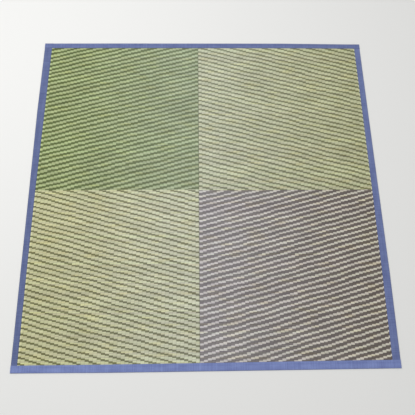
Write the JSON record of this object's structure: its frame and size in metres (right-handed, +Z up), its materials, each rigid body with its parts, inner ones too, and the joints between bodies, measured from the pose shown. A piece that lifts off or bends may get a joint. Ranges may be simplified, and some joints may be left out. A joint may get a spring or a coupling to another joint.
{
  "type": "tatami mat",
  "caption": "Square floor mat of woven rush in a chequer of diagonally ribbed blocks, with a folded cotton binding round its edges, to sit, kneel or lie on.",
  "frame": {"origin": "on the floor under the middle of the mat", "axes": "+Z up through the mat's thickness, +Y towards the far edge along the seam, +X to the right"},
  "size_m": [1.763, 1.762, 0.0037],
  "materials": {
    "left_rush": "woven rush, dyed green at the far half and natural at the near half, slight sheen",
    "right_rush": "woven rush, natural at the far half and dyed grey-purple at the near half, slight sheen",
    "binding_cotton": "matt woven cotton, slate blue"
  },
  "bodies": {
    "root": {"left_panel": "left_rush", "right_panel": "right_rush", "left_binding": "binding_cotton", "right_binding": "binding_cotton", "far_binding": "binding_cotton", "near_binding": "binding_cotton"}
  },
  "joints": []
}
